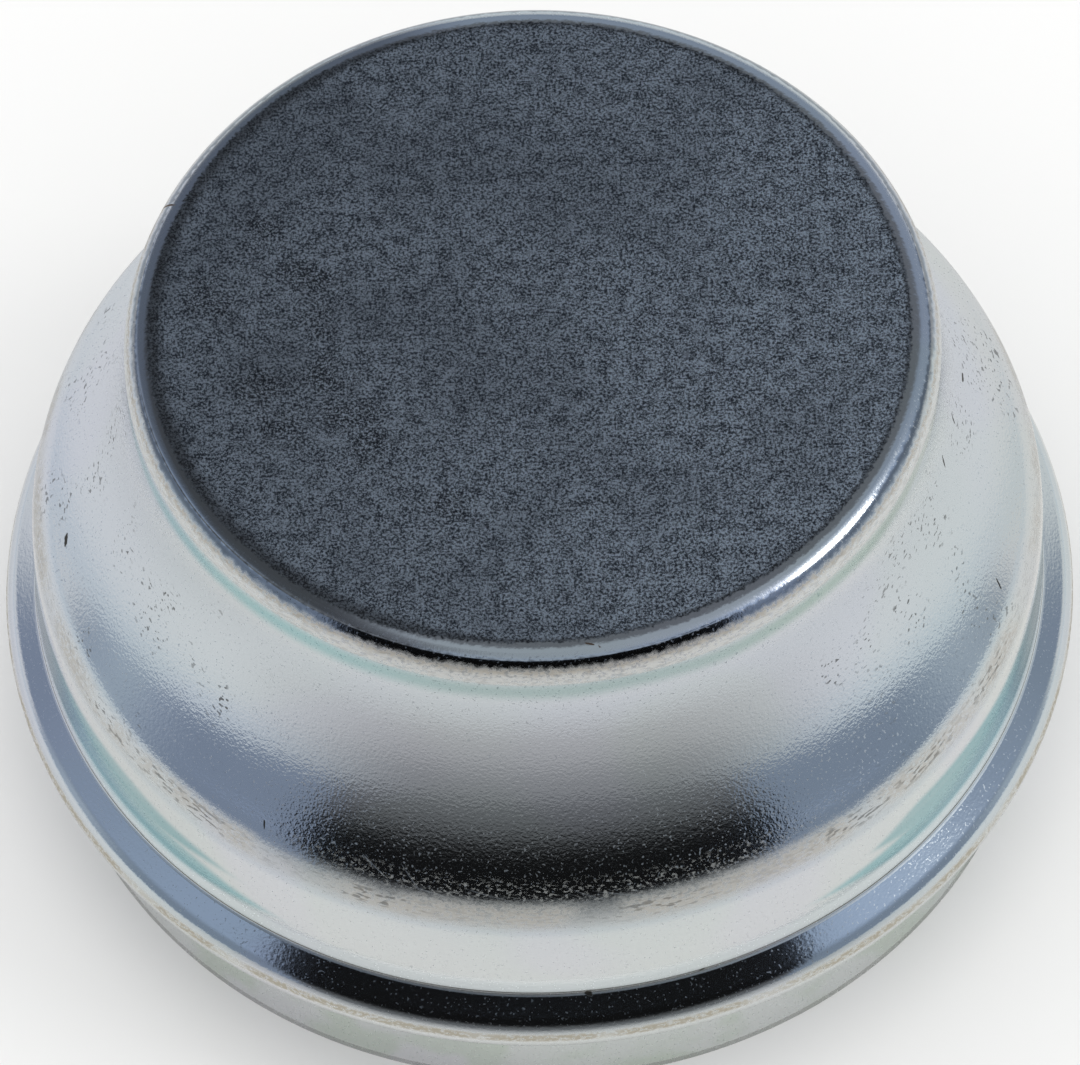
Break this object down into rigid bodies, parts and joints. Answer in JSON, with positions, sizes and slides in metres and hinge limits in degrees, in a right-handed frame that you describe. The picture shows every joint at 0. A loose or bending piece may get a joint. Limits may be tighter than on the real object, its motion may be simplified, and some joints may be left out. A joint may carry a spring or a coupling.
{
  "type": "hub grease cap",
  "caption": "Round press-in hub cap drawn from plated steel sheet: flat closed end, flared shoulder, straight body, stop bead and open skirt that seals a wheel hub's bore.",
  "frame": {"origin": "centre of the open mouth's rim plane, on the cap's axis", "axes": "+Z along the cap's axis, from the open mouth to the closed end; the cap is round about Z"},
  "size_m": [0.054, 0.054, 0.0292],
  "materials": {
    "zinc_plate": "bright zinc plate with a pale blue-green film over drawn steel sheet, dull and dark on the flat end"
  },
  "bodies": {
    "root": {"grease_cap": "zinc_plate"}
  },
  "joints": []
}
